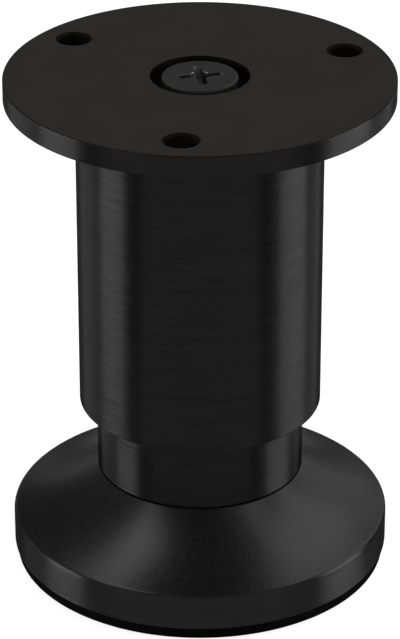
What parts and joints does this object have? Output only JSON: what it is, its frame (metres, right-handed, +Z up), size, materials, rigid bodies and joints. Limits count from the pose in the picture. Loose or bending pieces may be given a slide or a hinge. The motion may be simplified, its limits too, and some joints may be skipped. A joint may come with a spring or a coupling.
{
  "type": "adjustable furniture leg",
  "caption": "Black round furniture leg: mounting plate, tube, turning sleeve that sets the height, and a turned foot with a floor pad.",
  "frame": {"origin": "centre of the floor pad's sole, on the floor", "axes": "+Z up along the leg's axis, towards the mounting plate; +X to the right and +Y away from the viewer in the picture"},
  "size_m": [0.08, 0.08, 0.1095],
  "materials": {
    "black_plate": "satin black coating on steel",
    "black_brushed_tube": "satin black coating over steel brushed round the tube",
    "black_turned_foot": "satin black coating over a turned casting",
    "black_screw": "black zinc",
    "black_pad": "matt moulded rubber",
    "black_nylon": "moulded glass-filled nylon",
    "zinc_steel": "bright zinc plate",
    "bronze": "sintered bronze"
  },
  "bodies": {
    "base": {"foot": "black_turned_foot", "floor_pad": "black_pad", "pivot_bush": "bronze", "thrust_washer": "black_nylon"},
    "adjuster": {"adjusting_sleeve": "black_brushed_tube", "sleeve_base": "zinc_steel", "spindle": "zinc_steel", "lock_nut": "zinc_steel", "glide_ring": "black_nylon", "stop_ring": "zinc_steel", "pivot_screw": "zinc_steel", "pivot_washer": "zinc_steel"},
    "upper": {"outer_tube": "black_brushed_tube", "guide_ring": "black_nylon", "threaded_bush": "black_nylon", "tube_cap": "zinc_steel", "cap_nut": "zinc_steel", "mounting_plate": "black_plate", "lock_washer": "zinc_steel", "plate_screw": "black_screw"}
  },
  "joints": [
    {"name": "sleeve_turn", "type": "hinge", "parent": "base", "child": "adjuster", "pos_m": [0, 0, 0.021], "axis": [0, 0, 1], "range_deg": [-1890, 1710]},
    {"name": "height", "type": "slide", "parent": "base", "child": "upper", "axis": [0, 0, 1], "range_m": [-0.0095, 0.0105]}
  ],
  "couplings": [
    {"joint": "height", "follows": "sleeve_turn", "m_per_rad": -0.00031831}
  ]
}
